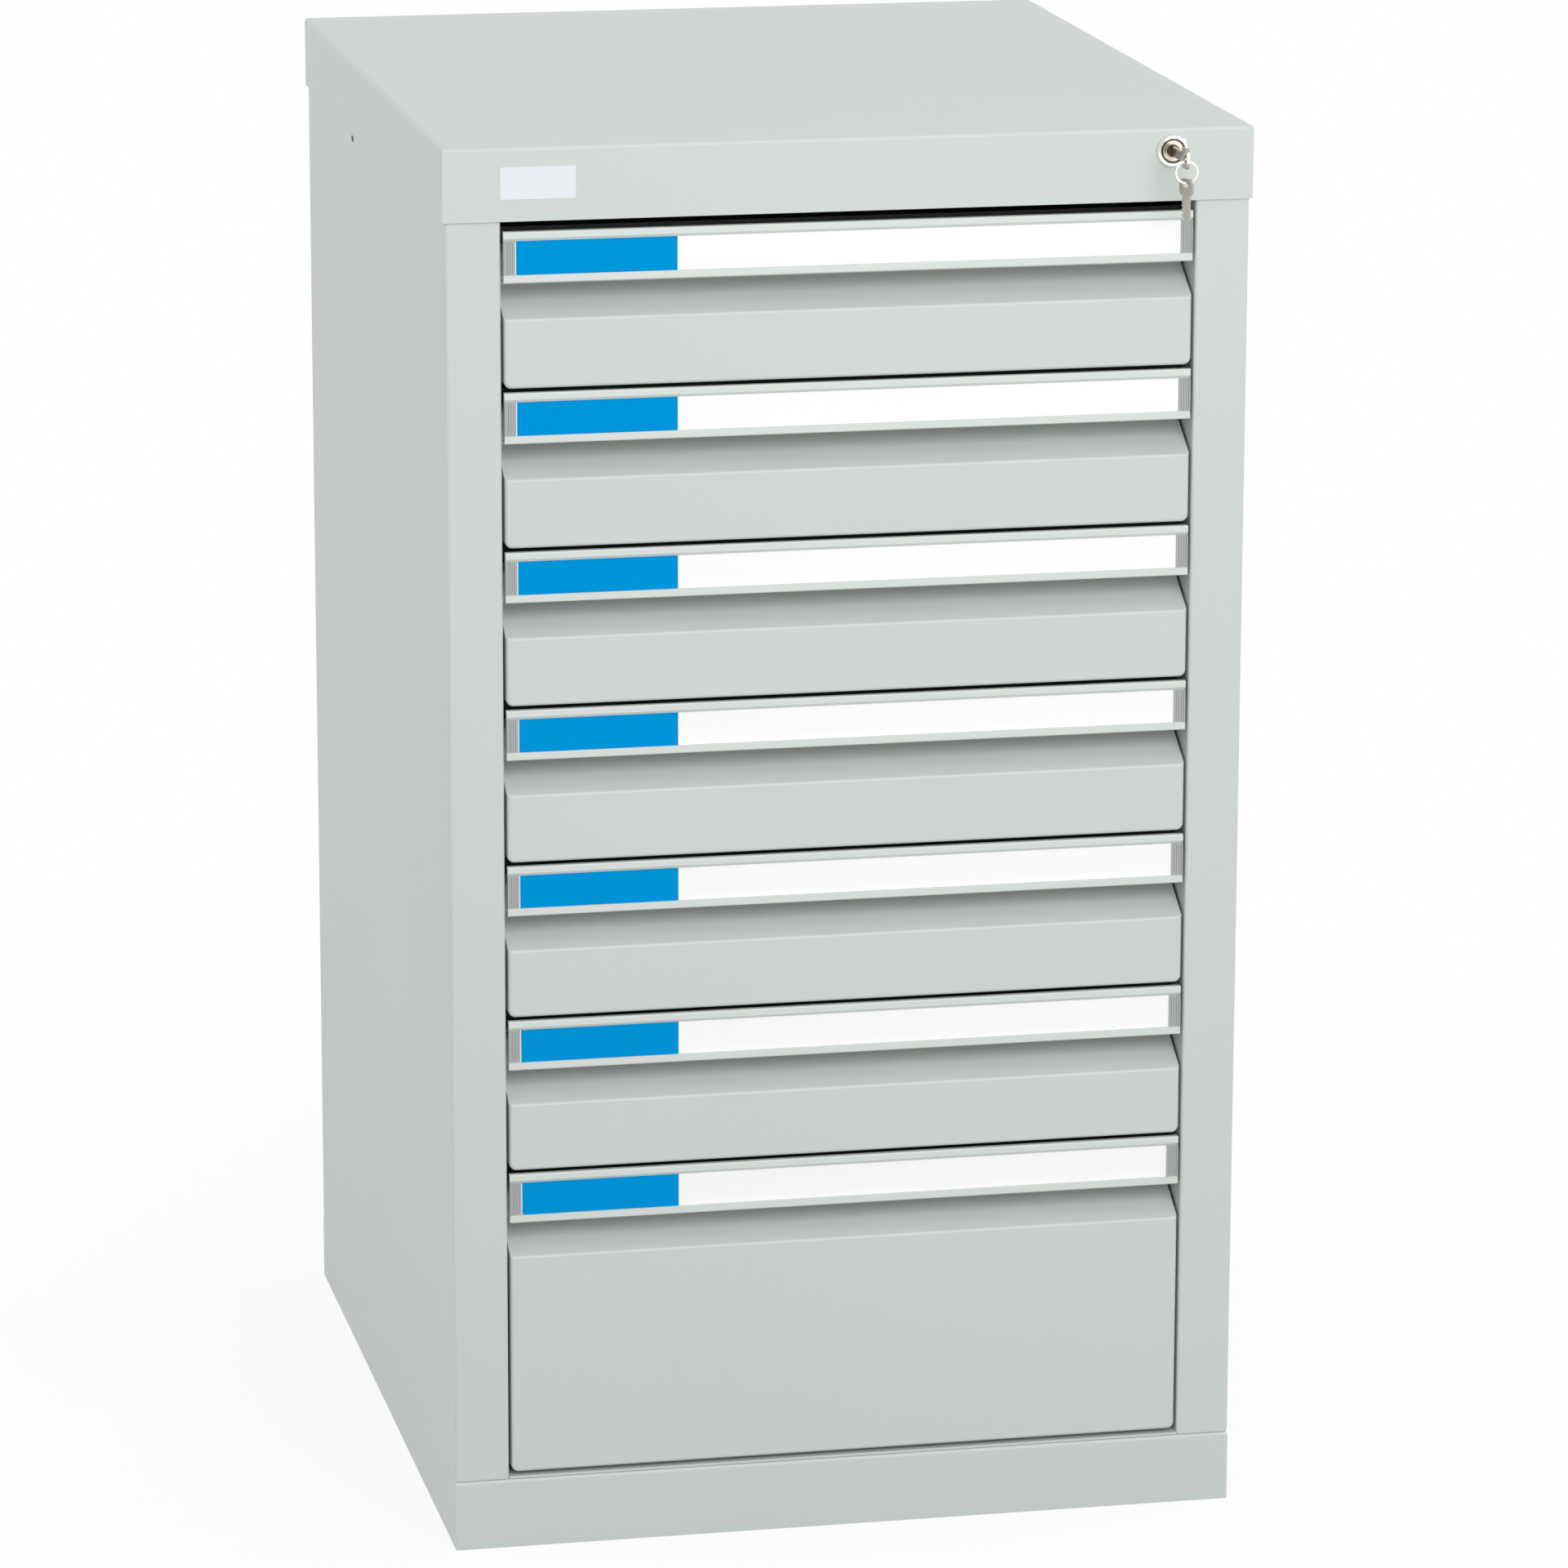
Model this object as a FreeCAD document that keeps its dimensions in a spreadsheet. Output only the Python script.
import FreeCAD, Part
import math
import os
import re
import Sketcher

# Modular drawer cabinet in folded sheet steel, in millimetres.
# Every piece is drawn about the cabinet's middle, with Y = 0 on the front face of the
# body and the drawer fronts, and is then placed so that the origin lies on the floor
# under the middle of the footprint: X to the right, Y to the back, Z up.

DRIVING_SIZES = [
    ("cab_width", 510, "overall width, over the top cover"),
    ("cab_depth", 590, "overall depth, over the top cover"),
    ("cover_height", 46, "height of the top cover's turned-down sides"),
    ("cover_sheet", 1.2, "sheet of the top cover"),
    ("cover_play", 0.4, "gap between the cover's sides and the body"),
    ("cover_bend", 2.5, "outside radius of the cover's top bends"),
    ("plinth_height", 46, "height of the plinth"),
    ("plinth_sheet", 1.5, "sheet of the plinth"),
    ("plinth_flange", 30, "plinth's flange, turned in under the body"),
    ("plinth_bend", 3, "outside radius of the plinth's top bends"),
    ("cover_head", 4, "cover's edge above the highest drawer's pitch"),
    ("body_sheet", 1, "sheet of the side panels and the back"),
    ("stile_width", 34.4, "front face of a side panel beside the drawers"),
    ("stile_return", 28, "depth of the stile's inner flange"),
    ("panel_bend", 2, "outside radius of a side panel's bends"),
    ("rear_flange", 20, "side panel's flange behind the back panel"),
    ("top_flange", 15, "side panel's flange under the cover"),
    ("slot_back", 88, "fixing slot of a side panel, behind the middle"),
    ("slot_drop", 6, "fixing slot below the cover's edge"),
    ("slot_long", 9, "length of the fixing slot"),
    ("slot_tall", 4, "height of the fixing slot"),
    ("rail_tall", 45, "height of the front rail that carries the lock"),
    ("rail_deep", 18, "depth of the front rail's flanges"),
    ("floor_sheet", 1.4, "sheet of the floor"),
    ("small_front", 100, "pitch of a small drawer"),
    ("large_front", 200, "pitch of the large drawer"),
    ("small_count", 6, "small drawers above the large one"),
    ("front_foot", 4, "lowest drawer front above the plinth"),
    ("front_gap", 2.65, "gap between two drawer fronts"),
    ("side_gap", 1.7, "gap beside a drawer front"),
    ("front_sheet", 1, "sheet of a drawer front"),
    ("pan_deep", 15, "depth of a drawer front's folded edges"),
    ("pan_corner", 4.5, "radius of a drawer front's lower corners"),
    ("front_bend", 2, "outside radius of a drawer front's bends"),
    ("grip_tall", 22.5, "height of the finger recess at the front face"),
    ("grip_deep", 29, "depth of the finger recess"),
    ("grip_rise", 17, "rise of the recess's sloping face"),
    ("strip_tall", 31.85, "height of the handle strip"),
    ("strip_wall", 2, "wall of the handle strip"),
    ("web_wall", 1.5, "wall of the handle strip's web"),
    ("web_drop", 12, "web below the handle strip's upper edge"),
    ("hook_drop", 12, "rear hook of the handle strip"),
    ("upper_lip", 5.85, "face of the strip above the label"),
    ("lip_bevel", 1.7, "height of the upper lip's bevel towards the label"),
    ("lower_lip", 5, "face of the strip below the label"),
    ("label_recess", 2, "depth of the label channel"),
    ("lip_wall", 1.2, "wall of the lips that hold the label"),
    ("groove_tall", 0.9, "label groove behind each lip"),
    ("finger_lip", 8, "depth of the strip's rounded lower edge"),
    ("card_thick", 0.5, "thickness of a label card"),
    ("card_play", 0.3, "play of the card in its grooves"),
    ("cap_wide", 7.4, "width of a strip end cap"),
    ("cap_sunk", 0.8, "end cap's face behind the lips"),
    ("cap_rim", 0.9, "rim of an end cap, flush with the lips"),
    ("cap_rib", 0.4, "depth and width of the grooves in an end cap's face"),
    ("blue_card", 101, "length of the blue card"),
    ("tray_behind", 56.8, "space behind the trays, to the back of the body"),
    ("tray_lift", 8, "tray's floor above the front's lower edge"),
    ("tray_clear", 20, "tray's rim below the next front"),
    ("tray_sheet", 1, "sheet of a tray"),
    ("tray_rim", 4, "rim turned out along a tray's sides"),
    ("tray_corner", 3, "outside radius of a tray's lower bends"),
    ("slide_space", 18, "space for the slide beside a tray"),
    ("rail_sheet", 1.5, "sheet of the fixed and the drawer rail"),
    ("rail_inside", 23, "running height inside a rail"),
    ("rail_level", 35, "slide's middle above the front's lower edge"),
    ("lap_play", 0.5, "gap between a rail's flanges and the middle bar"),
    ("bar_sheet", 1.6, "sheet of the middle bar"),
    ("bar_tall", 25, "height of the middle bar"),
    ("roller_play", 0.3, "play of a roller between a rail's flanges"),
    ("roller_side", 0.4, "gap between a roller and a rail's web"),
    ("roller_first", 12, "roller's centre from the end of the middle bar"),
    ("upright_wide", 30, "width of a slotted upright"),
    ("upright_gap", 3.5, "front upright behind the stile's flange"),
    ("upright_foot", 14, "uprights' lower end above the plinth"),
    ("upright_head", 9, "uprights' upper end below the cover's edge"),
    ("upright_behind", 66.8, "space behind the rear uprights, to the back of the body"),
    ("hook_pitch", 50, "pitch of the hook slots in the uprights"),
    ("hook_wide", 4, "width of a hook slot"),
    ("hook_tall", 14, "height of a hook slot"),
    ("catch_tall", 6, "height of a tray's locking catch"),
    ("catch_reach", 12, "catch's reach from the tray's side"),
    ("catch_level", 51, "catch above the front's lower edge"),
    ("catch_cover", 2, "finger's overlap below the catch when locked"),
    ("finger_tall", 10, "height of a locking bar's finger"),
    ("finger_hold", 3.5, "finger's hold on the end of a catch"),
    ("bar_stroke", 10, "stroke of the locking bar"),
    ("bar_wide", 20, "width of the locking bar"),
    ("bar_thick", 2, "thickness of the locking bar"),
    ("bar_gap", 0.5, "gap in front of and behind the locking bar"),
    ("bar_side", 3, "gap between the rails and the locking bar"),
    ("lock_side", 52, "lock's axis from the cover's right side"),
    ("lock_drop", 14.5, "lock's axis below the top"),
    ("lock_flange", 10.2, "radius of the lock's front flange"),
    ("lock_proud", 2.2, "thickness of the lock's front flange"),
    ("lock_barrel", 9, "radius of the lock's barrel"),
    ("lock_long", 25, "length of the lock behind its flange"),
    ("lock_bore", 7.1, "radius of the lock's bore"),
    ("plug_play", 0.05, "radial play of the plug in its bore"),
    ("hole_play", 0.3, "radial play round the lock's barrel"),
    ("cam_thick", 2, "thickness of the cam"),
    ("cam_pin", 1.5, "radius of the cam's pin"),
    ("cam_arm", 7.071, "cam pin's distance from the lock's axis"),
    ("cam_gap", 0.3, "gap of the cam's pin in the bar's slot"),
    ("keyway_wide", 2.2, "width of the keyway"),
    ("keyway_tall", 6.6, "height of the keyway"),
    ("key_thick", 1.8, "thickness of a key"),
    ("key_blade", 6, "height of a key's blade"),
    ("key_long", 32, "length of the blade of the key in the lock"),
    ("key_in", 9, "length of the blade inside the plug"),
    ("bow_long", 14, "length of that key's bow"),
    ("bow_tall", 13, "height of that key's bow"),
    ("bow_corner", 4, "corner radius of a key's bow"),
    ("bow_hole", 2.2, "radius of the hole in a bow"),
    ("hole_inset", 3.9, "hole's centre from the bow's outer end"),
    ("tooth_pitch", 3, "pitch of the cuts along a key's blade"),
    ("tooth_deep", 1.4, "depth of those cuts"),
    ("spare_long", 14.5, "length of the spare key's blade"),
    ("spare_bow", 11, "length and width of the spare key's bow"),
    ("ring_radius", 6.8, "middle radius of the key ring"),
    ("ring_wire", 0.6, "half thickness of the key ring's flat wire"),
    ("ring_wide", 0.9, "width of that wire"),
    ("ring_play", 0.2, "gap between the ring's wire and a bow's hole"),
    ("spare_turn", 30, "turn of the spare key on the ring, in degrees"),
    ("rivet_radius", 3.2, "radius of a rivet's head"),
    ("rivet_head", 1.3, "height of a rivet's head"),
    ("rivet_rows", 4, "rivets along each side of the back"),
    ("rivet_end", 44, "end rivets' distance from the plinth and from the cover's edge"),
]

SIZE = {alias: value for alias, value, note in DRIVING_SIZES}

# Lines that several pieces share, written in the driving sizes.
LAP = "(cover_sheet + cover_play)"
BODY_HALF = f"(cab_width / 2 - {LAP})"
BODY_DEPTH = f"(cab_depth - 2 * {LAP})"
LOWEST_FRONT = "(plinth_height + front_foot)"
COVER_EDGE = f"({LOWEST_FRONT} + large_front + small_count * small_front + cover_head)"
CAB_HEIGHT = f"({COVER_EDGE} + cover_height)"
BODY_TOP = f"({CAB_HEIGHT} - cover_sheet)"
OPENING_HALF = f"({BODY_HALF} - stile_width)"
FRONT_HALF = f"({OPENING_HALF} - side_gap)"
TRAY_HALF = f"({OPENING_HALF} - slide_space)"
PANEL_INSIDE = f"({BODY_HALF} - body_sheet)"
UPRIGHT_FRONT = "(stile_return + upright_gap)"
UPRIGHT_BACK = f"({BODY_DEPTH} - upright_behind)"
REAR_UPRIGHT = f"({UPRIGHT_BACK} - upright_wide)"
UPRIGHT_LOW = "(plinth_height + upright_foot)"
UPRIGHT_HIGH = f"({COVER_EDGE} - upright_head)"
RAIL_BACK = UPRIGHT_BACK
SLIDE_MIDDLE = f"({OPENING_HALF} - slide_space / 2)"
RAIL_HALF = "(rail_inside / 2 + rail_sheet)"
RAIL_LAP = "(slide_space / 2 - bar_sheet / 2 - lap_play)"
TRAY_FRONT = "(grip_deep + front_sheet)"
TRAY_BACK = f"({BODY_DEPTH} - tray_behind)"
BAR_FRONT = f"({UPRIGHT_FRONT} + upright_wide + bar_gap)"
BAR_INNER = f"({OPENING_HALF} + bar_side)"
LOCK_X = "(cab_width / 2 - lock_side)"
LOCK_Z = f"({CAB_HEIGHT} - lock_drop)"
LOCK_FACE = f"(-{LAP})"
LOCK_END = f"({LOCK_FACE} + lock_long)"
CAM_FRONT = f"({LOCK_END} + cam_gap)"
CAM_BACK = f"({CAM_FRONT} + cam_thick)"
HEAD_FRONT = "(stile_return + bar_gap)"
HEAD_BACK = f"({HEAD_FRONT} + bar_thick)"
PLUG_FACE = f"({LOCK_FACE} - lock_proud + 0.4 * lock_proud)"
KEY_SHOULDER = f"({PLUG_FACE} - key_long + key_in)"
HOLE_Y = f"({KEY_SHOULDER} - bow_long + hole_inset)"
RING_TOP = f"({LOCK_Z} - bow_hole + ring_wire + ring_play)"
RING_MIDDLE = f"({RING_TOP} - ring_radius)"
RING_BOTTOM = f"({RING_MIDDLE} - ring_radius)"
CELL_NAMES = set(SIZE)

doc = FreeCAD.newDocument("drawer_cabinet")
sheet = doc.addObject("Spreadsheet::Sheet", "Dims")
for row, (alias, value, note) in enumerate(DRIVING_SIZES, start=1):
    sheet.set(f"A{row}", alias)
    sheet.set(f"B{row}", str(value))
    sheet.set(f"C{row}", note)
    sheet.setAlias(f"B{row}", alias)
doc.recompute()

parts = []


# Helpers: bound sizes, sketches, prisms and turned forms

def bound(size):
    """The size as an expression on the sheet's cells."""
    def cell(word):
        return "Dims." + word.group(0) if word.group(0) in CELL_NAMES else word.group(0)
    return re.sub(r"[a-z][a-z_]+", cell, str(size))


def sub_part(name, lift="0"):
    """A body that becomes one node, set on the cabinet's frame at a height of its own."""
    body = doc.addObject("PartDesign::Body", name)
    body.Label = name
    body.AllowCompound = True
    body.setExpression("Placement.Base.y", bound(f"-{BODY_DEPTH} / 2"))
    body.setExpression("Placement.Base.z", bound(lift))
    parts.append(body)
    return body


def origin_plane(body, plane):
    return next(item for item in body.Origin.OriginFeatures if item.Role == plane + "_Plane")


def origin_axis(body, axis):
    return next(item for item in body.Origin.OriginFeatures if item.Role == axis + "_Axis")


def sketch_on(body, plane, start):
    """A sketch parallel to an origin plane, at a distance along the row's own axis."""
    sketch = body.newObject("Sketcher::SketchObject", body.Name + "_sketch")
    sketch.AttachmentSupport = [(origin_plane(body, plane), "")]
    sketch.MapMode = "FlatFace"
    sign = "-" if plane == "XZ" else ""
    sketch.setExpression("AttachmentOffset.Base.z", bound(f"{sign}({start})"))
    return sketch


def fix_point(sketch, edge, end, start, target):
    """Bind one point of a sketch to two sizes."""
    for kind, from_value, size in (("DistanceX", start.x, target[0]), ("DistanceY", start.y, target[1])):
        index = sketch.addConstraint(Sketcher.Constraint(kind, -1, 1, edge, end, from_value))
        sketch.setExpression(f"Constraints[{index}]", bound(size))


def outline(sketch, corners):
    """A closed outline of straight lines through the corners."""
    first = sketch.GeometryCount
    count = len(corners)
    starts = []
    for number in range(count):
        angle = 2 * math.pi * number / count
        starts.append(FreeCAD.Vector(50 * math.cos(angle) + 1, 50 * math.sin(angle) + 1, 0))
    for number in range(count):
        sketch.addGeometry(Part.LineSegment(starts[number], starts[(number + 1) % count]), False)
    for number in range(count):
        after = first + (number + 1) % count
        sketch.addConstraint(Sketcher.Constraint("Coincident", first + number, 2, after, 1))
    for number, corner in enumerate(corners):
        fix_point(sketch, first + number, 1, starts[number], corner)


def ring_line(sketch, centre, radius):
    """A circle with its centre and radius bound."""
    start = FreeCAD.Vector(1, 1, 0)
    edge = sketch.addGeometry(Part.Circle(start, FreeCAD.Vector(0, 0, 1), 5), False)
    fix_point(sketch, edge, 3, start, centre)
    index = sketch.addConstraint(Sketcher.Constraint("Radius", edge, 5))
    sketch.setExpression(f"Constraints[{index}]", bound(radius))


def box_corners(low_a, high_a, low_b, high_b):
    return [(low_a, low_b), (high_a, low_b), (high_a, high_b), (low_a, high_b)]


def add_prism(body, plane, start, length, *outlines, circles=()):
    """Pad outlines from a start plane along the row's positive axis."""
    sketch = sketch_on(body, plane, start)
    for corners in outlines:
        outline(sketch, corners)
    for centre, radius in circles:
        ring_line(sketch, centre, radius)
    pad = body.newObject("PartDesign::Pad", body.Name + "_pad")
    pad.Profile = sketch
    pad.Reversed = plane == "XZ"
    pad.setExpression("Length", bound(length))
    return pad


def cut_prism(body, plane, start, length, *outlines, circles=()):
    """Cut outlines away from a start plane along the row's positive axis."""
    sketch = sketch_on(body, plane, start)
    for corners in outlines:
        outline(sketch, corners)
    for centre, radius in circles:
        ring_line(sketch, centre, radius)
    pocket = body.newObject("PartDesign::Pocket", body.Name + "_cut")
    pocket.Profile = sketch
    pocket.Reversed = plane != "XZ"
    pocket.setExpression("Length", bound(length))
    return pocket


def edges_that(feature, test):
    """Names of a feature's straight edges whose two ends pass the test."""
    names = []
    for number, edge in enumerate(feature.Shape.Edges, start=1):
        if edge.Curve.TypeId != "Part::GeomLine":
            continue
        if test(edge.Vertexes[0].Point, edge.Vertexes[-1].Point, feature.Shape.BoundBox):
            names.append(f"Edge{number}")
    return names


def soften(body, radius, test):
    """Round the edges of the body's last feature that pass the test."""
    doc.recompute()
    base = body.Tip
    names = edges_that(base, test)
    if not names:
        raise ValueError(f"{body.Name}: no edge to round")
    fillet = body.newObject("PartDesign::Fillet", body.Name + "_round")
    fillet.Base = (base, names)
    fillet.setExpression("Radius", bound(radius))
    return fillet


def same(first, second):
    return abs(first - second) < 0.01


def mirror_sides(body, features):
    """Repeat features on the other side of the cabinet's middle plane."""
    mirrored = body.newObject("PartDesign::Mirrored", body.Name + "_mirror")
    mirrored.Originals = features
    mirrored.MirrorPlane = (origin_plane(body, "YZ"), [""])
    body.Tip = mirrored
    return mirrored


# Top cover: a lid folded down on all four sides

def top_cover():
    body = sub_part("top_cover")
    half = "cab_width / 2"
    front = f"-{LAP}"
    back = f"cab_depth - {LAP}"
    add_prism(body, "XY", COVER_EDGE, "cover_height", box_corners(f"-{half}", half, front, back))
    soften(body, "cover_bend", lambda a, b, box: same(a.z, box.ZMax) and same(b.z, box.ZMax))
    inner = f"{half} - cover_sheet"
    cut_prism(body, "XY", COVER_EDGE, "cover_height - cover_sheet",
              box_corners(f"-({inner})", inner, f"{front} + cover_sheet", f"{back} - cover_sheet"))
    cut_prism(body, "XZ", f"{front} - 1", "cover_sheet + 2",
              circles=[((LOCK_X, LOCK_Z), "lock_barrel + hole_play")])


# Plinth: a folded frame with its upper edges turned in under the body

def plinth():
    body = sub_part("plinth")
    add_prism(body, "XY", "0", "plinth_height",
              box_corners(f"-{BODY_HALF}", BODY_HALF, "0", BODY_DEPTH))
    soften(body, "plinth_bend", lambda a, b, box: same(a.z, box.ZMax) and same(b.z, box.ZMax))
    inner = f"{BODY_HALF} - plinth_sheet"
    cut_prism(body, "XY", "0", "plinth_height - plinth_sheet",
              box_corners(f"-({inner})", inner, "plinth_sheet", f"{BODY_DEPTH} - plinth_sheet"))
    mouth = f"{BODY_HALF} - plinth_flange"
    cut_prism(body, "XY", "0", "plinth_height + 1",
              box_corners(f"-({mouth})", mouth, "plinth_flange", f"{BODY_DEPTH} - plinth_flange"))


# Side panels: one sheet each, folded into the front stile and the rear flange

def side_panel(name, side):
    body = sub_part(name)
    outer = f"{side} * {BODY_HALF}"
    skin = f"{side} * {PANEL_INSIDE}"
    opening = f"{side} * {OPENING_HALF}"
    flange = f"{side} * ({OPENING_HALF} + body_sheet)"
    rear = f"{side} * ({BODY_HALF} - rear_flange)"
    section = [
        (outer, "0"), (opening, "0"), (opening, "stile_return"), (flange, "stile_return"),
        (flange, "body_sheet"), (skin, "body_sheet"), (skin, f"{BODY_DEPTH} - body_sheet"),
        (rear, f"{BODY_DEPTH} - body_sheet"), (rear, BODY_DEPTH), (outer, BODY_DEPTH),
    ]
    add_prism(body, "XY", "plinth_height", f"{BODY_TOP} - plinth_height", section)
    soften(body, "panel_bend",
           lambda a, b, box: same(a.x, b.x) and same(a.y, b.y)
           and (same(a.y, box.YMin) or same(a.x, box.XMax if side > 0 else box.XMin)))
    inward = f"{side} * ({PANEL_INSIDE} - top_flange)"
    add_prism(body, "XY", f"{BODY_TOP} - body_sheet", "body_sheet",
              box_corners(inward, skin, f"{UPRIGHT_FRONT} + upright_wide + bar_wide * 2",
                          f"{BODY_DEPTH} - body_sheet"))
    slot_middle = f"{BODY_DEPTH} / 2 + slot_back"
    slot_level = f"{COVER_EDGE} - slot_drop"
    start = f"{BODY_HALF} - 2 * body_sheet" if side > 0 else f"-{BODY_HALF} - body_sheet"
    cut_prism(body, "YZ", start, "3 * body_sheet",
              box_corners(f"{slot_middle} - slot_long / 2", f"{slot_middle} + slot_long / 2",
                          f"{slot_level} - slot_tall / 2", f"{slot_level} + slot_tall / 2"))


# Back panel: a flat sheet with folded edges, riveted inside the rear flanges

def back_panel():
    body = sub_part("back_panel")
    half = f"{PANEL_INSIDE} - body_sheet"
    rear = f"{BODY_DEPTH} - body_sheet"
    low = "plinth_height + floor_sheet + body_sheet"
    tall = f"{BODY_TOP} - plinth_height - floor_sheet - 2 * body_sheet"
    add_prism(body, "XY", low, tall,
              box_corners(f"-({half})", half, f"{rear} - top_flange", rear))
    inside = f"{half} - body_sheet"
    cut_prism(body, "XY", f"{low} + body_sheet", f"{tall} - 2 * body_sheet",
              box_corners(f"-({inside})", inside, f"{rear} - top_flange - 1", f"{rear} - body_sheet"))


def back_rivets():
    body = sub_part("back_rivets")
    low = "(plinth_height + rivet_end)"
    high = f"({COVER_EDGE} - rivet_end)"
    sketch = sketch_on(body, "XY", low)
    across = f"{BODY_HALF} - rear_flange / 2"
    outline(sketch, [(across, BODY_DEPTH), (f"{across} + rivet_radius", BODY_DEPTH),
                     (f"{across} + rivet_radius * 0.6", f"{BODY_DEPTH} + rivet_head"),
                     (across, f"{BODY_DEPTH} + rivet_head")])
    head = body.newObject("PartDesign::Revolution", "rivet_head_turned")
    head.Profile = sketch
    head.ReferenceAxis = (sketch, ["Edge4"])
    head.Angle = 360
    doc.recompute()
    transform = body.newObject("PartDesign::MultiTransform", "rivets")
    transform.Originals = [head]
    pattern = body.newObject("PartDesign::LinearPattern", "rivet_rows_up")
    pattern.Direction = (origin_axis(body, "Z"), [""])
    pattern.Occurrences = SIZE["rivet_rows"]
    pattern.setExpression("Length", bound(f"{high} - {low}"))
    mirrored = body.newObject("PartDesign::Mirrored", "rivet_sides")
    mirrored.MirrorPlane = (origin_plane(body, "YZ"), [""])
    transform.Transformations = [pattern, mirrored]
    body.Tip = transform


# Floor sheet and the front rail that ties the stiles and carries the lock

def floor_panel():
    body = sub_part("floor_panel")
    half = f"{PANEL_INSIDE} - body_sheet"
    behind = "stile_return + body_sheet"
    rear = f"{BODY_DEPTH} - body_sheet"
    add_prism(body, "XY", "plinth_height", "floor_sheet", [
        (f"-{OPENING_HALF}", "0"), (OPENING_HALF, "0"), (OPENING_HALF, behind), (half, behind),
        (half, rear), (f"-({half})", rear), (f"-({half})", behind), (f"-{OPENING_HALF}", behind)])


def front_rail():
    body = sub_part("front_rail")
    low = f"({BODY_TOP} - rail_tall)"
    section = [
        ("0", low), ("rail_deep", low), ("rail_deep", f"{low} + body_sheet"),
        ("body_sheet", f"{low} + body_sheet"), ("body_sheet", f"{BODY_TOP} - body_sheet"),
        ("rail_deep", f"{BODY_TOP} - body_sheet"), ("rail_deep", BODY_TOP), ("0", BODY_TOP),
    ]
    add_prism(body, "YZ", f"-{OPENING_HALF}", f"2 * {OPENING_HALF}", section)
    cut_prism(body, "XZ", "-1", "body_sheet + 2",
              circles=[((LOCK_X, LOCK_Z), "lock_barrel + hole_play")])


# Slotted uprights inside the side panels, which the fixed rails hook into

def slotted_uprights():
    body = sub_part("slotted_uprights")
    web = f"{OPENING_HALF} + rail_sheet"
    channels = []
    for front in (UPRIGHT_FRONT, REAR_UPRIGHT):
        back = f"{front} + upright_wide"
        channels.append([
            (OPENING_HALF, front), (PANEL_INSIDE, front), (PANEL_INSIDE, f"{front} + rail_sheet"),
            (web, f"{front} + rail_sheet"), (web, f"{back} - rail_sheet"),
            (PANEL_INSIDE, f"{back} - rail_sheet"), (PANEL_INSIDE, back), (OPENING_HALF, back),
        ])
    add_prism(body, "XY", UPRIGHT_LOW, f"{UPRIGHT_HIGH} - {UPRIGHT_LOW}", *channels)
    slots = []
    for front in (UPRIGHT_FRONT, REAR_UPRIGHT):
        middle = f"{front} + upright_wide / 2"
        slots.append(box_corners(f"{middle} - hook_wide / 2", f"{middle} + hook_wide / 2",
                                 f"{UPRIGHT_LOW} + hook_pitch / 2",
                                 f"{UPRIGHT_LOW} + hook_pitch / 2 + hook_tall"))
    hooks = cut_prism(body, "YZ", f"{OPENING_HALF} - 1", "rail_sheet + 2", *slots)
    count = f"floor(({UPRIGHT_HIGH} - {UPRIGHT_LOW}) / hook_pitch)"
    transform = body.newObject("PartDesign::MultiTransform", "hook_slots")
    transform.Originals = [hooks]
    pattern = body.newObject("PartDesign::LinearPattern", "hook_slots_up")
    pattern.Direction = (origin_axis(body, "Z"), [""])
    pattern.setExpression("Occurrences", bound(count))
    pattern.setExpression("Length", bound(f"hook_pitch * ({count} - 1)"))
    transform.Transformations = [pattern]
    body.Tip = transform
    doc.recompute()
    whole = body.newObject("PartDesign::Mirrored", "upright_sides")
    whole.MirrorPlane = (origin_plane(body, "YZ"), [""])
    whole.TransformMode = "Whole shape"
    body.Tip = whole


# Fixed rails: channels open towards the drawer, one pair for each drawer

def drawer_level(number):
    """Lower edge of a drawer front, counted from the top."""
    if number > SIZE["small_count"]:
        return LOWEST_FRONT
    return f"({LOWEST_FRONT} + large_front + (small_count - {number}) * small_front)"


def rail_section(web, tip, level):
    """A channel with its web at one side and its flanges reaching to the tip."""
    inner = f"({web} + ({tip} - ({web})) / {RAIL_LAP} * rail_sheet)"
    return [
        (web, f"{level} - {RAIL_HALF}"), (tip, f"{level} - {RAIL_HALF}"),
        (tip, f"{level} - rail_inside / 2"), (inner, f"{level} - rail_inside / 2"),
        (inner, f"{level} + rail_inside / 2"), (tip, f"{level} + rail_inside / 2"),
        (tip, f"{level} + {RAIL_HALF}"), (web, f"{level} + {RAIL_HALF}"),
    ]


def fixed_rails():
    body = sub_part("fixed_rails")
    sections = []
    for number in range(1, SIZE["small_count"] + 2):
        level = f"({drawer_level(number)} + rail_level)"
        sections.append(rail_section(OPENING_HALF, f"({OPENING_HALF} - {RAIL_LAP})", level))
    pad = add_prism(body, "XZ", UPRIGHT_FRONT, f"{RAIL_BACK} - {UPRIGHT_FRONT}", *sections)
    mirror_sides(body, [pad])


# Middle bars: flat bars that carry the rollers and move half as far as the drawer

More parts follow.
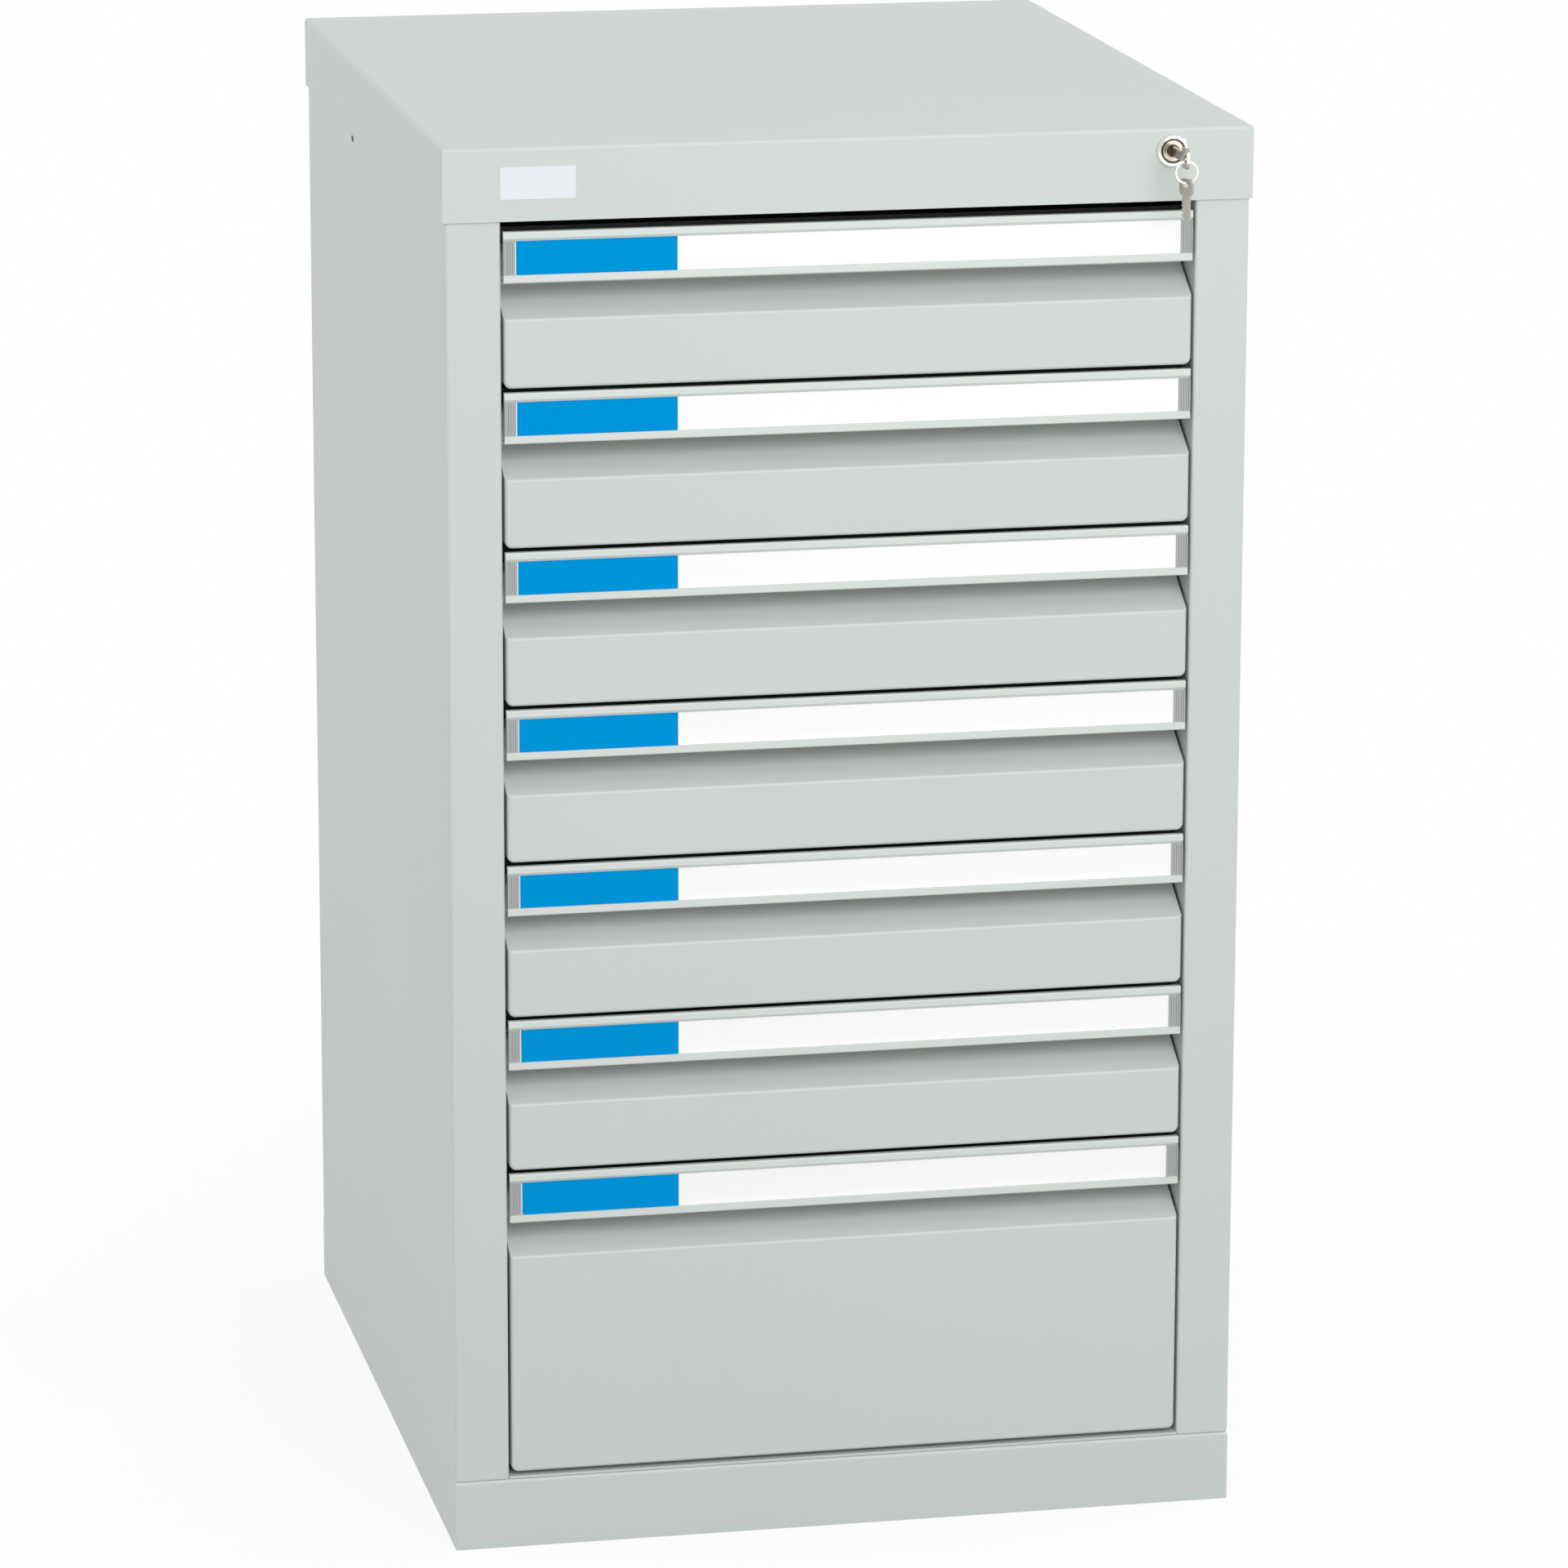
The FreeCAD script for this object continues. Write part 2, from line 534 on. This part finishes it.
def middle_bars(number):
    body = sub_part(f"drawer_{number}_middle_bars", drawer_level(number))
    front = f"({UPRIGHT_FRONT} + roller_play)"
    length = f"({RAIL_BACK} - {UPRIGHT_FRONT} - 2 * roller_play)"
    inner = f"({SLIDE_MIDDLE} - bar_sheet / 2)"
    outer = f"({SLIDE_MIDDLE} + bar_sheet / 2)"
    bar = add_prism(body, "YZ", inner, "bar_sheet",
                    box_corners(front, f"{front} + {length}",
                                "rail_level - bar_tall / 2", "rail_level + bar_tall / 2"))
    radius = "rail_inside / 2 - roller_play"
    back = f"{front} + {length}"
    rear_roller = (f"{back} - roller_first", "rail_level")
    front_roller = (f"{front} + roller_first", "rail_level")
    reach = "slide_space / 2 - bar_sheet / 2 - rail_sheet - roller_side"
    outside = add_prism(body, "YZ", outer, reach, circles=[(rear_roller, radius)])
    inside = add_prism(body, "YZ", f"{inner} - ({reach})", reach, circles=[(front_roller, radius)])
    mirror_sides(body, [bar, outside, inside])


# Drawer front: a folded pan whose sheet slopes back into the finger recess

def drawer_front(number, pitch):
    body = sub_part(f"drawer_{number}_front", drawer_level(number))
    tall = f"({pitch} - front_gap)"
    crease = f"({tall} - strip_tall - grip_tall)"
    back = f"(pan_deep / grip_deep * grip_rise + {crease})"
    top = f"({tall} - web_wall)"
    slope_end = f"({crease} + grip_rise)"
    lean = "front_sheet * sqrt(grip_deep * grip_deep + grip_rise * grip_rise) / grip_deep"
    section = [
        ("0", "0"), ("0", crease), ("grip_deep", slope_end), ("grip_deep", top),
        (TRAY_FRONT, top), (TRAY_FRONT, f"{slope_end} - front_sheet"),
        ("pan_deep", f"{back} - {lean}"), ("pan_deep", "0"),
    ]
    add_prism(body, "YZ", f"-{FRONT_HALF}", f"2 * {FRONT_HALF}", section)
    soften(body, "pan_corner",
           lambda a, b, box: same(a.z, box.ZMin) and same(b.z, box.ZMin)
           and same(a.x, b.x) and same(abs(a.x), box.XMax))
    soften(body, "front_bend", lambda a, b, box: same(a.y, box.YMin) and same(b.y, box.YMin))
    hollow = [
        ("front_sheet", "front_sheet"), ("front_sheet", f"{crease} - front_sheet * 0.4"),
        ("pan_deep + 1", f"{back} + grip_rise / grip_deep - {lean}"), ("pan_deep + 1", "front_sheet"),
    ]
    inside = f"({FRONT_HALF} - front_sheet)"
    cut_prism(body, "YZ", f"-{inside} + pan_corner", f"2 * ({inside} - pan_corner)", hollow)
    ends = [
        ("front_sheet", "pan_corner"), ("front_sheet", f"{crease} - front_sheet * 0.4"),
        ("pan_deep + 1", f"{back} + grip_rise / grip_deep - {lean}"), ("pan_deep + 1", "pan_corner"),
    ]
    cut_prism(body, "YZ", f"-{inside}", f"2 * {inside}", ends)


# Handle strip: an extruded profile with a label channel in front and a web to the steel front

def handle_strip(number, pitch):
    body = sub_part(f"drawer_{number}_handle", drawer_level(number))
    top = f"({pitch} - front_gap)"
    low = f"({top} - strip_tall)"
    window_low = f"({low} + lower_lip)"
    window_high = f"({top} - upper_lip)"
    web = f"({top} - web_drop)"
    channel_back = "(label_recess + strip_wall)"
    groove_front = "lip_wall"
    section = [
        ("0", low), ("0", window_low), (groove_front, window_low),
        (groove_front, f"{window_low} - groove_tall"), ("label_recess", f"{window_low} - groove_tall"),
        ("label_recess", f"{window_high} + groove_tall"), (groove_front, f"{window_high} + groove_tall"),
        (groove_front, window_high), ("0", f"{window_high} + lip_bevel"), ("0", top), (channel_back, top),
        (channel_back, web), ("grip_deep", web), ("grip_deep", f"{web} - hook_drop"),
        ("grip_deep - web_wall", f"{web} - hook_drop"), ("grip_deep - web_wall", f"{web} - web_wall"),
        (channel_back, f"{web} - web_wall"),
        (channel_back, f"{low} + strip_wall"), ("finger_lip", f"{low} + strip_wall"),
        ("finger_lip", low),
    ]
    add_prism(body, "YZ", f"-{FRONT_HALF}", f"2 * {FRONT_HALF}", section)
    soften(body, "strip_wall * 0.45",
           lambda a, b, box: same(a.y, b.y) and same(a.z, b.z) and
           ((same(a.y, box.YMin) and (same(a.z, box.ZMin) or same(a.z, box.ZMax)))
            or (same(a.z, box.ZMin) and a.y > box.YMin + 1)
            or (same(a.z, box.ZMin + SIZE["strip_wall"]) and a.y > box.YMin + 5)))


def label_cards(number, pitch):
    body = sub_part(f"drawer_{number}_label_cards", drawer_level(number))
    top = f"({pitch} - front_gap)"
    low = f"({top} - strip_tall + lower_lip - groove_tall + card_play)"
    high = f"({top} - upper_lip + groove_tall - card_play)"
    left = f"(-{FRONT_HALF} + cap_wide)"
    split = f"({left} + blue_card)"
    right = f"({FRONT_HALF} - cap_wide)"
    add_prism(body, "XZ", "label_recess - card_thick", "card_thick",
              box_corners(left, split, low, high),
              box_corners(f"{split} + card_play", right, low, high))


def end_caps(number, pitch):
    body = sub_part(f"drawer_{number}_end_caps", drawer_level(number))
    top = f"({pitch} - front_gap)"
    low = f"({top} - strip_tall + lower_lip)"
    high = f"({top} - upper_lip)"
    outer = FRONT_HALF
    inner = f"({FRONT_HALF} - cap_wide)"
    block = add_prism(body, "XZ", "cap_sunk", "label_recess - cap_sunk",
                      box_corners(inner, outer, low, high))
    grooves = []
    for share in (0.25, 0.5, 0.75):
        middle = f"({inner} + {share} * (cap_wide - cap_rim))"
        grooves.append(box_corners(f"{middle} - cap_rib / 2", f"{middle} + cap_rib / 2",
                                   f"{low} + cap_rim", f"{high} - cap_rim"))
    ribs = cut_prism(body, "XZ", "cap_sunk - cap_rib", "cap_rib * 2", *grooves)
    rim = add_prism(body, "XZ", "0", "label_recess",
                    box_corners(f"{outer} - cap_rim", outer, low, high))
    mirror_sides(body, [block, ribs, rim])


# Tray: an open sheet box with its drawer rails welded on and the catch for the locking bar

def tray(number, pitch):
    body = sub_part(f"drawer_{number}_tray", drawer_level(number))
    rim = f"({pitch} - tray_clear)"
    add_prism(body, "XY", "tray_lift", f"{rim} - tray_lift",
              box_corners(f"-{TRAY_HALF}", TRAY_HALF, TRAY_FRONT, TRAY_BACK))
    soften(body, "tray_corner",
           lambda a, b, box: same(a.z, box.ZMin) and same(b.z, box.ZMin)
           and same(a.x, b.x) and same(abs(a.x), box.XMax))
    inner = f"({TRAY_HALF} - tray_sheet)"
    cut_prism(body, "XY", "tray_lift + tray_sheet", f"{rim} - tray_lift",
              box_corners(f"-{inner}", inner, f"{TRAY_FRONT} + tray_sheet",
                          f"{TRAY_BACK} - tray_sheet"))
    lip = add_prism(body, "XZ", TRAY_FRONT, f"{TRAY_BACK} - {TRAY_FRONT}",
                    box_corners(f"{TRAY_HALF} - tray_sheet / 2", f"{TRAY_HALF} + tray_rim",
                                f"{rim} - tray_sheet", rim))
    mirror_sides(body, [lip])
    rail = add_prism(body, "XZ", UPRIGHT_FRONT, f"{RAIL_BACK} - {UPRIGHT_FRONT}",
                     rail_section(TRAY_HALF, f"({TRAY_HALF} + {RAIL_LAP})", "rail_level"))
    mirror_sides(body, [rail])
    catch_front = f"({BAR_FRONT} + bar_thick + bar_gap)"
    add_prism(body, "YZ", f"{TRAY_HALF} - tray_sheet / 2", "catch_reach + tray_sheet / 2",
              box_corners(catch_front, f"{catch_front} + catch_tall",
                          "catch_level", "catch_level + catch_tall"))


# Central lock: housing, turning plug, cam, locking bar

def turned(body, points, x, z):
    """Turn a half section, given as radius and depth, about the line along Y at x and z."""
    sketch = sketch_on(body, "XY", z)
    outline(sketch, [(f"{x} + {radius}", depth) for radius, depth in points])
    first = sketch.addGeometry(
        Part.LineSegment(FreeCAD.Vector(1, 1, 0), FreeCAD.Vector(1, 9, 0)), True)
    fix_point(sketch, first, 1, FreeCAD.Vector(1, 1, 0), (x, "0"))
    fix_point(sketch, first, 2, FreeCAD.Vector(1, 9, 0), (x, "9"))
    spun = body.newObject("PartDesign::Revolution", body.Name + "_turned")
    spun.Profile = sketch
    spun.ReferenceAxis = (sketch, ["Axis0"])
    spun.Angle = 360
    return spun


def lock_housing():
    body = sub_part("lock_housing")
    face = f"({LOCK_FACE} - lock_proud)"
    turned(body, [
        ("lock_bore + 0.8", face), ("lock_flange - 0.8", face),
        ("lock_flange", f"{face} + 0.8"), ("lock_flange", LOCK_FACE),
        ("lock_barrel", LOCK_FACE), ("lock_barrel", LOCK_END), ("lock_bore", LOCK_END),
        ("lock_bore", f"{face} + 1.2"), ("lock_bore + 0.8", f"{face} + 1.2"),
    ], LOCK_X, LOCK_Z)


def lock_plug():
    body = sub_part("lock_plug")
    radius = "lock_bore - plug_play"
    nose = "cam_pin * 2 - plug_play"
    turned(body, [
        ("0", PLUG_FACE), (f"{radius} - 0.5", PLUG_FACE), (radius, f"{PLUG_FACE} + 0.5"),
        (radius, LOCK_END), (nose, LOCK_END), (nose, CAM_BACK), ("0", CAM_BACK),
    ], LOCK_X, LOCK_Z)
    cut_prism(body, "XZ", f"{PLUG_FACE} - 1", "key_in + 1.5",
              box_corners(f"{LOCK_X} - keyway_wide / 2", f"{LOCK_X} + keyway_wide / 2",
                          f"{LOCK_Z} - keyway_tall / 2", f"{LOCK_Z} + keyway_tall / 2"))


def lock_cam():
    body = sub_part("lock_cam")
    pin_x = f"({LOCK_X} + cam_arm * 0.70711)"
    pin_z = f"({LOCK_Z} + cam_arm * 0.70711)"
    wing = "cam_pin * 2.2"
    add_prism(body, "XZ", CAM_FRONT, "cam_thick", [
        (f"{LOCK_X} - {wing}", f"{LOCK_Z} + {wing} * 0.4"),
        (f"{LOCK_X} - {wing} * 0.4", f"{LOCK_Z} - {wing}"),
        (f"{LOCK_X} + {wing}", f"{LOCK_Z} - {wing}"),
        (f"{pin_x} + {wing}", f"{pin_z} - {wing} * 0.5"),
        (f"{pin_x} + {wing} * 0.8", f"{pin_z} + {wing} * 0.8"),
        (f"{pin_x} - {wing} * 0.5", f"{pin_z} + {wing}"),
        (f"{LOCK_X} - {wing}", f"{LOCK_Z} + {wing}"),
    ])
    cut_prism(body, "XZ", f"{CAM_FRONT} - 1", "cam_thick + 2", circles=[((LOCK_X, LOCK_Z), "cam_pin * 2")])
    add_prism(body, "XZ", CAM_BACK, f"{HEAD_BACK} - {CAM_BACK} + cam_gap",
              circles=[((pin_x, pin_z), "cam_pin")])


def locking_bar():
    body = sub_part("locking_bar")
    pin_z = f"({LOCK_Z} + cam_arm * 0.70711)"
    head_low = f"({pin_z} - 4 * cam_pin)"
    head_high = f"({pin_z} + 4 * cam_pin)"
    bar_back = f"({BAR_FRONT} + bar_wide)"
    low = f"({LOWEST_FRONT} + catch_level - 2 * bar_stroke)"
    add_prism(body, "YZ", BAR_INNER, "bar_thick", [
        (BAR_FRONT, low), (bar_back, low), (bar_back, head_high), (HEAD_FRONT, head_high),
        (HEAD_FRONT, head_low), (BAR_FRONT, head_low),
    ])
    add_prism(body, "XZ", HEAD_FRONT, "bar_thick",
              box_corners(LOCK_X, f"{BAR_INNER} + bar_thick / 2", head_low, head_high))
    slot_half = "(cam_pin + cam_gap)"
    cut_prism(body, "XZ", f"{HEAD_FRONT} - 1", "bar_thick + 2",
              box_corners(f"{LOCK_X} + cam_arm * 0.70711 - 2 * cam_pin", f"{LOCK_X} + cam_arm + 2 * cam_pin",
                          f"{pin_z} - {slot_half}", f"{pin_z} + {slot_half}"))
    fingers = []
    for number in range(1, SIZE["small_count"] + 2):
        level = f"({drawer_level(number)} + catch_level - catch_cover + bar_stroke)"
        fingers.append(box_corners(f"{TRAY_HALF} + catch_reach - finger_hold",
                                   f"{BAR_INNER} + bar_thick / 2", level, f"{level} + finger_tall"))
    add_prism(body, "XZ", BAR_FRONT, "bar_thick", *fingers)


# Keys: one in the lock, one hanging from the ring on the first one's bow

def blade_outline(shoulder, length, teeth):
    """A blade along the first direction from the bow: one flat edge, one edge with cuts, a blunt tip."""
    tip = f"({shoulder} + {length})"
    points = [(f"{shoulder} - bow_corner", "-key_blade / 2"), (f"{tip} - key_blade / 3", "-key_blade / 2"),
              (tip, "0"), (f"{tip} - key_blade / 3", "key_blade / 2")]
    for tooth in range(teeth):
        middle = f"({tip} - key_blade * 0.7 - {tooth} * tooth_pitch)"
        points.append((f"{middle} + tooth_pitch / 3", "key_blade / 2"))
        points.append((middle, f"key_blade / 2 - tooth_deep * {1 - 0.3 * (tooth % 3)}"))
        points.append((f"{middle} - tooth_pitch / 3", "key_blade / 2"))
    points.append((f"{shoulder} - bow_corner", "key_blade / 2"))
    return points


def inserted_key():
    body = sub_part("key")
    start = f"({LOCK_X} - key_thick / 2)"
    bow_end = f"({KEY_SHOULDER} - bow_long)"
    add_prism(body, "YZ", start, "key_thick",
              box_corners(bow_end, KEY_SHOULDER, f"{LOCK_Z} - bow_tall / 2", f"{LOCK_Z} + bow_tall / 2"))
    soften(body, "bow_corner", lambda a, b, box: same(a.y, b.y) and same(a.z, b.z))
    blade = blade_outline(KEY_SHOULDER, "key_long", 7)
    add_prism(body, "YZ", start, "key_thick", [(along, f"{LOCK_Z} + {across}") for along, across in blade])
    cut_prism(body, "YZ", f"{start} - 1", "key_thick + 2", circles=[((HOLE_Y, LOCK_Z), "bow_hole")])


def key_ring():
    body = sub_part("key_ring")
    add_prism(body, "XZ", "-ring_wide / 2", "ring_wide",
              circles=[(("0", "0"), "ring_radius + ring_wire"), (("0", "0"), "ring_radius - ring_wire")])
    body.setExpression("Placement.Base.x", bound(LOCK_X))
    body.setExpression("Placement.Base.y", bound(f"{HOLE_Y} - {BODY_DEPTH} / 2"))
    body.setExpression("Placement.Base.z", bound(RING_MIDDLE))


def spare_key():
    body = sub_part("spare_key")
    hole = "(-bow_hole + ring_wire + 3 * ring_play)"
    top = f"({hole} + hole_inset)"
    shoulder = f"({top} - spare_bow)"
    add_prism(body, "YZ", "-key_thick / 2", "key_thick",
              box_corners("-spare_bow / 2", "spare_bow / 2", shoulder, top))
    soften(body, "bow_corner", lambda a, b, box: same(a.y, b.y) and same(a.z, b.z))
    blade = blade_outline("0", "spare_long", 3)
    add_prism(body, "YZ", "-key_thick / 2", "key_thick",
              [(across, f"{shoulder} - ({along})") for along, across in blade])
    cut_prism(body, "YZ", "-key_thick", "key_thick * 2", circles=[(("0", hole), "bow_hole")])
    body.setExpression("Placement.Rotation.Angle", bound("spare_turn"))
    body.setExpression("Placement.Base.x", bound(LOCK_X))
    body.setExpression("Placement.Base.y", bound(f"{HOLE_Y} - {BODY_DEPTH} / 2"))
    body.setExpression("Placement.Base.z", bound(RING_BOTTOM))


top_cover()
plinth()
side_panel("side_panel_left", -1)
side_panel("side_panel_right", 1)
back_panel()
back_rivets()
floor_panel()
front_rail()
slotted_uprights()
fixed_rails()
for drawer in range(1, SIZE["small_count"] + 2):
    drawer_pitch = "small_front" if drawer <= SIZE["small_count"] else "large_front"
    drawer_front(drawer, drawer_pitch)
    handle_strip(drawer, drawer_pitch)
    label_cards(drawer, drawer_pitch)
    end_caps(drawer, drawer_pitch)
    tray(drawer, drawer_pitch)
    middle_bars(drawer)
lock_housing()
lock_plug()
lock_cam()
locking_bar()
inserted_key()
key_ring()
spare_key()

doc.recompute()
faults = [item.Name for item in doc.Objects if "Invalid" in item.State or "Error" in item.State]
if faults:
    raise RuntimeError("features that failed: " + ", ".join(faults))
for part in parts:
    if part.Shape.isNull() or not part.Shape.isValid() or not part.Shape.Solids:
        raise RuntimeError("no valid solid: " + part.Label)

os.makedirs("parts", exist_ok=True)
for part in parts:
    part.Shape.exportStep(f"parts/{part.Label}.step")
    print(part.Label, len(part.Shape.Solids), round(part.Shape.Volume))
